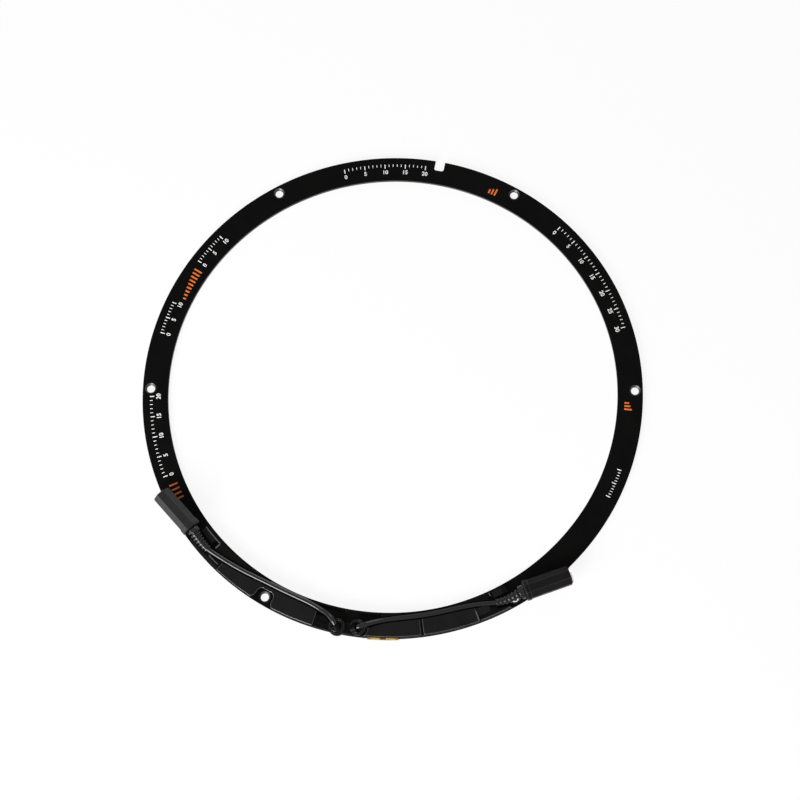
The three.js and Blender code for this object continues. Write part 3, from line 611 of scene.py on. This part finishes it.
def cable(name, route, node):
    """A cable along its route."""
    points = smooth([on_cover(point) for point in route], 8)
    curve = bpy.data.curves.new(name, "CURVE")
    curve.dimensions = "3D"
    curve.bevel_depth = CABLE_RADIUS
    curve.bevel_resolution = 7
    curve.use_fill_caps = True
    spline = curve.splines.new("POLY")
    spline.points.add(len(points) - 1)
    for target, point in zip(spline.points, points):
        target.co = (*point, 1.0)
    spline.use_smooth = True
    obj = bpy.data.objects.new(name, curve)
    bpy.context.scene.collection.objects.link(obj)
    curve.materials.append(MATERIALS["cable_jacket"])
    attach(obj, "root")
    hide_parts(node)
    return obj


def connector_frame(connector):
    """A connector's near end, and the direction in which it points."""
    start = polar(connector["angle"], COVER_MIDDLE + connector["offset"] * MM, CONNECTOR_Z)
    heading = math.radians(connector["heading"])
    return start, Vector((math.cos(heading), math.sin(heading), 0.0))


def rounded(profile, radius, steps=3):
    """A lathe profile of (distance along, radius) pairs with its corners rounded."""
    out = [profile[0]]
    for before, corner, after in zip(profile, profile[1:], profile[2:]):
        here = Vector(corner)
        back = Vector(before) - here
        ahead = Vector(after) - here
        size = min(radius, back.length * 0.45, ahead.length * 0.45)
        if size < 1e-6:
            out.append(corner)
            continue
        a = here + back.normalized() * size
        b = here + ahead.normalized() * size
        for i in range(steps + 1):
            t = i / steps
            out.append(tuple(a.lerp(here, t).lerp(here.lerp(b, t), t)))
    out.append(profile[-1])
    return out


def bent_lathe(name, profile, path, sides):
    """A turned body whose axis follows a path; its profile starts and ends on the axis, or joins."""
    points = even(path, 160)
    total = length_of(points)
    up = Vector((0, 0, 1))
    loop = (Vector(profile[0]) - Vector(profile[-1])).length < 1e-7
    rings = profile[:-1] if loop else profile
    vertices = []
    for along, radius in rings:
        share = min(max(along / total, 0.0), 1.0) * (len(points) - 1)
        index = min(int(share), len(points) - 2)
        place = points[index].lerp(points[index + 1], share - index)
        tangent = (points[index + 1] - points[index]).normalized()
        side = tangent.cross(up).normalized()
        over = side.cross(tangent)
        for k in range(sides):
            turn = 2 * math.pi * k / sides
            vertices.append(place + side * (radius * math.cos(turn)) + over * (radius * math.sin(turn)))
    faces = []
    last = len(rings) if loop else len(rings) - 1
    for i in range(last):
        for k in range(sides):
            a, b = i * sides, ((i + 1) % len(rings)) * sides
            faces.append((a + k, a + (k + 1) % sides, b + (k + 1) % sides, b + k))
    bm = bmesh.new()
    made = [bm.verts.new(v) for v in vertices]
    for face in faces:
        bm.faces.new([made[i] for i in face])
    bmesh.ops.remove_doubles(bm, verts=bm.verts, dist=1e-7)
    bmesh.ops.dissolve_degenerate(bm, edges=bm.edges, dist=1e-7)
    return from_bmesh(name, bm)


# A relief's ribs: where each ends, and where the groove after it starts and ends, as shares of the pitch
RIB_END = 0.56
GROOVE = (0.62, 0.96)
GROOVE_WALL = 0.18 * MM
RIB_TAPER = 0.1 * MM
RELIEF_BORE_DEPTH = 2.8 * MM
RELIEF_GAP = 0.2 * MM
COLLAR_LENGTH = 2.2 * MM


def relief_profile(length, thin, thick, ribs, collar_radius, collar_length):
    """The lathe profile of a ribbed relief, with its collar and the spigot in the connector."""
    bore = CABLE_RADIUS + CABLE_CLEARANCE
    ribbed = length - SPIGOT_LENGTH - collar_length
    pitch = ribbed / ribs
    core = bore + GROOVE_WALL
    profile = [(RELIEF_BORE_DEPTH, 0.0), (RELIEF_BORE_DEPTH, bore), (0.0, bore)]
    for i in range(ribs):
        radius = thin + (thick - thin) * (i + 1) / ribs
        start = pitch * i
        profile += [(start, radius - RIB_TAPER), (start + pitch * RIB_END, radius)]
        profile += [(start + pitch * share, core) for share in GROOVE]
    root = length - SPIGOT_LENGTH - RELIEF_GAP
    profile += [(ribbed, collar_radius), (root, collar_radius), (root, SPIGOT_RADIUS)]
    profile += [(length, SPIGOT_RADIUS), (length, 0.0)]
    return rounded(profile, 0.22 * MM)


def relief(name, route, connector, thin, thick, ribs, collar_radius, node):
    """A relief that bends from the cable's end into its connector; radii are in millimetres."""
    start, axis = connector_frame(connector)
    points = [on_cover(point) for point in route]
    points += [start - axis * 1.2 * MM, start, start + axis * SPIGOT_LENGTH]
    path = smooth(points, 12)
    radii = (thin * MM, thick * MM)
    profile = relief_profile(length_of(path), *radii, ribs, collar_radius * MM, COLLAR_LENGTH)
    mesh = bent_lathe(name, profile, path, 40)
    return piece(name, mesh, "relief_rubber", (node,), weighted=False)


def sleeve(name, connector, inner, outer, low, high, finish, node, chamfer=0.12):
    """A turned tube on a connector's axis, in millimetres along it."""
    start, axis = connector_frame(connector)
    path = [start + axis * (low * MM), start + axis * (high * MM)]
    length = (high - low) * MM
    inner, outer = inner * MM, outer * MM
    profile = [(0.0, inner), (0.0, outer), (length, outer), (length, inner), (0.0, inner)]
    turned = rounded([profile[-2], *profile, profile[1]], chamfer * MM, 2)[1:-1]
    turned.append(turned[0])
    return piece(name, bent_lathe(name, turned, path, 48), finish, (node,), weighted=False)


def make_connectors():
    """The connectors with their reliefs, and the cables that carry them."""
    left_shell = refined("connector_left_shell", 0.25 * MM, "connector_plastic", "connector_gloss",
                         segments=3)
    # The right shell's rounded edges carry a painted highlight.
    right_shell = refined("connector_right_shell", 0.4 * MM, "connector_plastic", segments=3,
                          edge="connector_edge_highlight")
    left = [
        left_shell,
        sleeve("connector_left_bush_fine", LEFT_CONNECTOR, 1.9, 3.0, 20.6, 24.8, "plated_contact",
               "connector_left_bush"),
        relief("relief_left_fine", RELIEF_LEFT, LEFT_CONNECTOR, 2.1, 2.75, 6, 3.0, "relief_left"),
        frame["nodes"]["connector_left_insert"], frame["nodes"]["connector_left_contact"],
    ]
    right = [
        right_shell,
        sleeve("connector_right_barrel_fine", RIGHT_CONNECTOR, 3.7, 4.1, 16.4, 25.5, "plated_contact",
               "connector_right_barrel"),
        relief("relief_right_fine", RELIEF_RIGHT, RIGHT_CONNECTOR, 1.95, 2.7, 6, 3.7, "relief_right"),
        frame["nodes"]["connector_right_insert"], frame["nodes"]["connector_right_contact"],
    ]
    cable("cable_left_fine", CABLE_LEFT, "cable_left")
    cable("cable_right_fine", CABLE_RIGHT, "cable_right")


# The cover

# Thin trim on the tray: offsets from the cover's middle line, angles, height over the rim, and softening
TRIM_SUNK = 0.1 * MM
# Trim in the edge finish is lighter lines of painted highlight.
COVER_TRIM = [
    ("rail_line_left", 3.3, 3.8, 223.9, 226.9, 0.3, 0.12, "cover_edge_highlight"),
    ("rail_line_right", 5.45, 5.95, 290.9, 298.1, 0.3, 0.12, "cover_edge_highlight"),
    ("rail_left_outer", 4.5, 5.95, 218.2, 227.2, 0.2, 0.15, "cover_plastic"),
    ("left_rail", -5.0, -4.3, 218.2, 223.7, 0.45, 0.2, "cover_edge_highlight"),
    ("left_block", -4.3, -1.7, 218.2, 222.2, 0.2, 0.12, "cover_plastic"),
    ("left_wall", -4.4, -1.3, 223.6, 223.95, 0.45, 0.12, "cover_edge_highlight"),
    ("right_wall", -5.7, -3.9, 294.85, 295.15, 0.4, 0.12, "cover_edge_highlight"),
    ("right_block", -5.5, -2.2, 295.7, 298.2, 0.25, 0.2, "cover_plastic"),
]

def cover_patch(name, inner, outer, start, end, low, high, soften=0.12, finish="cover_edge_highlight"):
    """A raised patch between two offsets from the cover's middle line, in mm, and two angles."""
    steps = max(2, int(abs(end - start) / 0.7))
    angles = [start + (end - start) * i / steps for i in range(steps + 1)]
    outline = [polar(angle, COVER_MIDDLE + outer * MM) for angle in angles]
    outline += [polar(angle, COVER_MIDDLE + inner * MM) for angle in reversed(angles)]
    mesh = slab_mesh(name, [outline], low, high, soften * MM)
    return piece(name, mesh, finish)


def gland_ring(name, angle, offset, radius, thickness, height, finish):
    """A raised ring round a boss of the gland."""
    bm = bmesh.new()
    centre = on_cover((angle, offset, height))
    sides, tube_sides = 56, 12
    rows = []
    for i in range(sides):
        turn = 2 * math.pi * i / sides
        out = Vector((math.cos(turn), math.sin(turn), 0))
        row = []
        for k in range(tube_sides):
            roll = 2 * math.pi * k / tube_sides
            lift = Vector((0, 0, math.sin(roll) * thickness * MM))
            row.append(bm.verts.new(centre + out * (radius + thickness * math.cos(roll)) * MM + lift))
        rows.append(row)
    for i in range(sides):
        for k in range(tube_sides):
            a, b = rows[i], rows[(i + 1) % sides]
            bm.faces.new((a[k], b[k], b[(k + 1) % tube_sides], a[(k + 1) % tube_sides]))
    return piece(name, from_bmesh(name, bm), finish, weighted=False)


def tail_spot(name, start, end, inner, outer, low, high, finish, soften=0.02):
    """A piece or a mark on the top of the film's folded tail."""
    obj = cover_patch(name, inner, outer, start, end, low, high, soften, finish)


def rounded_tab(name, start, end, inner, outer, low, high):
    """A tab that stands square on the lid's end and is rounded on its other side."""
    width = outer - inner
    middle = (inner + outer) / 2
    reach = math.radians(end - start) * COVER_MIDDLE / MM
    outline = []
    for along, across in [(0.0, -width / 2), (0.0, width / 2)]:
        outline.append(Vector((along, across, 0)))
    for i in range(17):
        turn = math.pi / 2 - math.pi * i / 16
        along = reach - width / 2 + width / 2 * math.cos(turn)
        outline.append(Vector((along, width / 2 * math.sin(turn), 0)))
    placed = []
    for point in outline:
        angle = start + math.degrees(point.x * MM / COVER_MIDDLE)
        placed.append(polar(angle, COVER_MIDDLE + (middle + point.y) * MM))
    return piece(name, slab_mesh(name, [placed], low, high, 0.15 * MM), "cover_plastic")


def make_cover():
    """The tray, lids and gland with rounded edges, the film, and the trim on them."""
    # The edges of the tray, lids and gland carry a painted highlight, except along the cables.
    refined("base_tray", 0.2 * MM, "cover_plastic", "tray_plastic", edge="cover_edge_highlight")
    for node in ("lid_left", "lid_right_inner", "lid_right_outer"):
        refined(node, 0.24 * MM, "cover_plastic", edge="cover_edge_highlight")
    refined("cable_gland", 0.3 * MM, "cover_plastic", "tray_plastic", segments=3, edge="cover_edge_highlight")
    refined("heater_film", 0.06 * MM, "polyimide")
    for name, inner, outer, start, end, height, soften, finish in COVER_TRIM:
        high = TRAY_RIM_Z + height * MM
        cover_patch(name, inner, outer, start, end, TRAY_RIM_Z - TRIM_SUNK, high, soften, finish)
    rounded_tab("right_tab", 290.8, 293.9, -0.6, 3.4, TRAY_RIM_Z - TRIM_SUNK, TRAY_RIM_Z + 0.35 * MM)
    # A lighter line at the lid's end, in the edge finish: painted highlight.
    cover_patch("lid_end_edge", 0.5, 5.85, 290.3, 290.62, TRAY_RIM_Z, LID_Z + 0.12 * MM)
    # The outer ring round each boss is lighter: a painted highlight on its rim.
    for name, angle, offset in (("left", 258.1, 3.3), ("right", 262.85, 2.1)):
        gland_ring(f"gland_ring_{name}_1", angle, offset, 2.8, 0.3, 3.2, "relief_rubber")
        gland_ring(f"gland_ring_{name}_2", angle, offset, 3.75, 0.24, 3.1, "rim_highlight")
    make_tail()


def make_tail():
    """The film's tail where it shows beside the cover: a strip, with a dark spot and darker ends that
    carry painted glints.
    """
    start, end, inner, outer = 265.2, 272.1, 5.98, 7.02
    top = FACE_Z + FILM_THICKNESS + 0.7 * MM
    low, high = top - 0.05 * MM, top + 0.06 * MM
    tail_spot("tail_strip", start, end, inner, outer, FACE_Z + 0.2 * MM, top, "polyimide", 0.12)
    tail_spot("tail_spot", 268.0, 269.3, 6.3, 7.05, low, high, "brown_patch")
    # The ends mix dark brown with lighter orange; the lighter orange is a painted glint.
    tail_spot("tail_end_left", 265.22, 266.0, 6.3, 7.08, low, high, "amber_end_glint")
    tail_spot("tail_end_right", 271.3, 272.08, 6.3, 7.08, low, high, "amber_end_glint")


def dress_nodes():
    """Gives each node that still shows its own finish."""
    slots = {part["node"]: part["material_slot"] for part in frame["record"]["subparts"]}
    for name, obj in frame["nodes"].items():
        obj.data.materials.clear()
        obj.data.materials.append(MATERIALS[slots[name]])


# Printed marks: a plain scale with numbers, and bars

def mark_box(bm, angle, radius, along, across, z):
    """A thin printed bar; along runs with the ring and across runs outwards."""
    out = polar(angle, 1.0)
    side = polar(angle + 90, 1.0)
    centre = polar(angle, radius, z)
    corners = [(-1, -1), (1, -1), (1, 1), (-1, 1)]
    flat = [centre + side * (s * along / 2) + out * (o * across / 2) for s, o in corners]
    low = [bm.verts.new(point - Vector((0, 0, PRINT_HEIGHT))) for point in flat]
    high = [bm.verts.new(point + Vector((0, 0, PRINT_HEIGHT))) for point in flat]
    bm.faces.new(high)
    bm.faces.new(low[::-1])
    for i in range(4):
        k = (i + 1) % 4
        bm.faces.new((low[i], low[k], high[k], high[i]))


def number_mesh(text, size, angle, radius, z):
    """A printed number that reads from the ring's centre outwards."""
    curve = bpy.data.curves.new("number", "FONT")
    curve.body = text
    curve.size = size
    curve.align_x = "CENTER"
    curve.align_y = "CENTER"
    curve.extrude = PRINT_HEIGHT
    curve.offset = PRINT_BOLDNESS
    curve.resolution_u = 3
    holder = bpy.data.objects.new("number", curve)
    bpy.context.scene.collection.objects.link(holder)
    bpy.context.view_layer.update()
    mesh = bpy.data.meshes.new_from_object(holder.evaluated_get(bpy.context.evaluated_depsgraph_get()))
    bpy.data.objects.remove(holder)
    turn = Matrix.Rotation(math.radians(angle - 90), 4, "Z")
    mesh.transform(Matrix.Translation(polar(angle, radius, z)) @ turn)
    return mesh


# A scale's marks: (width, length) of long and short ones, and its numbers' size and drop
LONG_MARK = (0.5 * MM, 2.3 * MM)
SHORT_MARK = (0.34 * MM, 1.4 * MM)
MARKS_PER_NUMBER = 5
NUMBER_SIZE = 3.1 * MM
NUMBER_DROP = 4.6 * MM
SCALE_RADIUS = 127.6 * MM
LOWER_SCALE_RADIUS = 127.0 * MM
# Name, first and last angle, step, radius, and whether it has numbers
SCALES = [
    ("scale_top", 83.0, 103.0, 1.0, SCALE_RADIUS, True),
    ("scale_left_upper", 138.0, 146.0, 0.8, SCALE_RADIUS, True),
    ("scale_left_lower", 158.0, 166.0, 0.8, SCALE_RADIUS, True),
    ("scale_lower_left", 182.0, 202.0, 1.0, SCALE_RADIUS, True),
    ("scale_right", 16.0, 46.0, 1.0, SCALE_RADIUS, True),
    ("scale_lower_right", 333.0, 340.0, 0.7, LOWER_SCALE_RADIUS, False),
]
BAR_WIDTH = 0.9 * MM
GAUGE_RADIUS = 121.8 * MM
# Name, first and last angle, number of bars, and the lowest and highest bar in millimetres
GAUGES = [
    ("gauge_left", 148.2, 156.0, 9, 1.6, 4.6),
    ("gauge_lower_left", 204.6, 208.2, 4, 3.4, 4.6),
    ("gauge_right_upper", 64.3, 65.9, 3, 2.4, 4.0),
    ("gauge_right_lower", 355.2, 356.8, 3, 2.4, 4.0),
]


def scale_marks(name, start, end, step, radius, numbered):
    """A scale that counts clockwise: short and long marks outside, and a number below each long one."""
    bm = bmesh.new()
    z = FACE_Z + PRINT_HEIGHT
    count = int(round((end - start) / step))
    for i in range(count + 1):
        angle = end - i * step
        long = i % MARKS_PER_NUMBER == 0
        width, length = LONG_MARK if long else SHORT_MARK
        mark_box(bm, angle, radius - length / 2, width, length, z)
        if numbered and long:
            mesh = number_mesh(str(i), NUMBER_SIZE, angle, radius - NUMBER_DROP, z)
            bm.from_mesh(mesh)
            bpy.data.meshes.remove(mesh)
    piece(name, from_bmesh(name, bm), "white_ink", weighted=False)


def gauge_marks(name, start, end, count, low, high):
    """A row of bars that grow clockwise from one height to another, on one base line."""
    bm = bmesh.new()
    for i in range(count):
        share = i / (count - 1)
        length = (low + (high - low) * share) * MM
        angle = end - (end - start) * share
        mark_box(bm, angle, GAUGE_RADIUS + length / 2, BAR_WIDTH, length, FACE_Z + PRINT_HEIGHT)
    piece(name, from_bmesh(name, bm), "orange_ink", weighted=False)


def make_marks():
    for scale in SCALES:
        scale_marks(*scale)
    for gauge in GAUGES:
        gauge_marks(*gauge)


# Camera, lights and floor

def make_camera():
    """The camera where the fit to the photograph puts it."""
    tilt, azimuth = math.radians(CAMERA_TILT), math.radians(CAMERA_AZIMUTH)
    lean = math.sin(tilt)
    normal = Vector((lean * math.cos(azimuth), lean * math.sin(azimuth), math.cos(tilt)))
    across = Vector((1, 0, 0))
    across = (across - normal * across.dot(normal)).normalized()
    upwards = normal.cross(across)
    phase = math.radians(RING_PHASE)
    world_x = across * math.cos(phase) + upwards * math.sin(phase)
    world_y = upwards * math.cos(phase) - across * math.sin(phase)
    to_camera = Matrix((world_x, world_y, normal)).transposed()
    offset = Vector((
        -(RING_CENTRE[0] - PRINCIPAL_POINT[0]) / PIXELS_PER_RADIUS,
        (RING_CENTRE[1] - PRINCIPAL_POINT[1]) / PIXELS_PER_RADIUS,
        CAMERA_DISTANCE,
    )) * OUTER_RADIUS
    turn = to_camera.transposed()
    data = bpy.data.cameras.new("camera")
    data.sensor_width = SENSOR
    data.lens = PIXELS_PER_RADIUS * CAMERA_DISTANCE / PICTURE * SENSOR
    data.shift_x = (PICTURE / 2 - PRINCIPAL_POINT[0]) / PICTURE
    data.shift_y = (PRINCIPAL_POINT[1] - PICTURE / 2) / PICTURE
    data.clip_start = 0.01
    camera = bpy.data.objects.new("camera", data)
    bpy.context.scene.collection.objects.link(camera)
    camera.matrix_world = Matrix.Translation(turn @ offset + Vector((0, 0, FACE_Z))) @ turn.to_4x4()
    bpy.context.scene.camera = camera


def area_light(name, place, target, size, power):
    """A round soft lamp that faces its target, with its size in metres and its power in watts."""
    data = bpy.data.lights.new(name, "AREA")
    data.shape = "DISK"
    data.size = size
    data.energy = power
    light = bpy.data.objects.new(name, data)
    bpy.context.scene.collection.objects.link(light)
    light.location = place
    light.rotation_euler = (Vector(target) - Vector(place)).to_track_quat("-Z", "Y").to_euler()


def seen_directly(tree):
    """1 for rays from the camera, and for mirror and glass rays."""
    path = tree.nodes.new("ShaderNodeLightPath")
    value = path.outputs["Is Camera Ray"]
    for name in ("Is Glossy Ray", "Is Transmission Ray"):
        larger = tree.nodes.new("ShaderNodeMath")
        larger.operation = "MAXIMUM"
        tree.links.new(value, larger.inputs[0])
        tree.links.new(path.outputs[name], larger.inputs[1])
        value = larger.outputs[0]
    return value


def make_world():
    """A world that shows white, and lights matt surfaces less."""
    world = bpy.data.worlds.new("world")
    bpy.context.scene.world = world
    world.use_nodes = True
    tree = world.node_tree
    background = tree.nodes["Background"]
    strength = ramp(tree, seen_directly(tree), WORLD_FILL, 1.0, 0.0, 1.0)
    background.inputs["Color"].default_value = (1, 1, 1, 1)
    tree.links.new(strength, background.inputs["Strength"])


def make_floor():
    """A pale floor that shows white and keeps the object's shadow."""
    bm = bmesh.new()
    bmesh.ops.create_grid(bm, x_segments=1, y_segments=1, size=FLOOR_SIZE)
    mesh = bpy.data.meshes.new("floor")
    bm.to_mesh(mesh)
    bm.free()
    floor = bpy.data.objects.new("floor", mesh)
    floor.location.z = -FLOOR_GAP
    bpy.context.scene.collection.objects.link(floor)
    material = bpy.data.materials.new("floor")
    material.use_nodes = True
    tree = material.node_tree
    tree.nodes.remove(tree.nodes["Principled BSDF"])
    diffuse = tree.nodes.new("ShaderNodeBsdfDiffuse")
    diffuse.inputs["Color"].default_value = (FLOOR_TONE, FLOOR_TONE, FLOOR_TONE, 1)
    glow = tree.nodes.new("ShaderNodeEmission")
    mix = tree.nodes.new("ShaderNodeMixShader")
    tree.links.new(ramp(tree, seen_directly(tree), 0.0, FLOOR_GLOW, 0.0, 1.0), mix.inputs["Fac"])
    tree.links.new(diffuse.outputs[0], mix.inputs[1])
    tree.links.new(glow.outputs[0], mix.inputs[2])
    tree.links.new(mix.outputs[0], tree.nodes["Material Output"].inputs["Surface"])
    mesh.materials.append(material)


def make_light():
    # The key is seen mirrored along the left cable
    area_light("key", (-0.52, -0.84, 0.52), (-0.03, -0.06, 0), 0.66, 23)
    area_light("low_left", (-1.2, -0.6, 0.24), (0, 0, 0), 0.9, 7)
    area_light("back", (0.35, 1.2, 0.6), (0, 0, 0), 0.9, 6)
    bpy.context.scene.view_settings.view_transform = "Standard"


make_camera()
dress_nodes()
make_connectors()
make_plate()
make_cover()
make_marks()
make_world()
make_floor()
make_light()

bpy.context.view_layer.update()
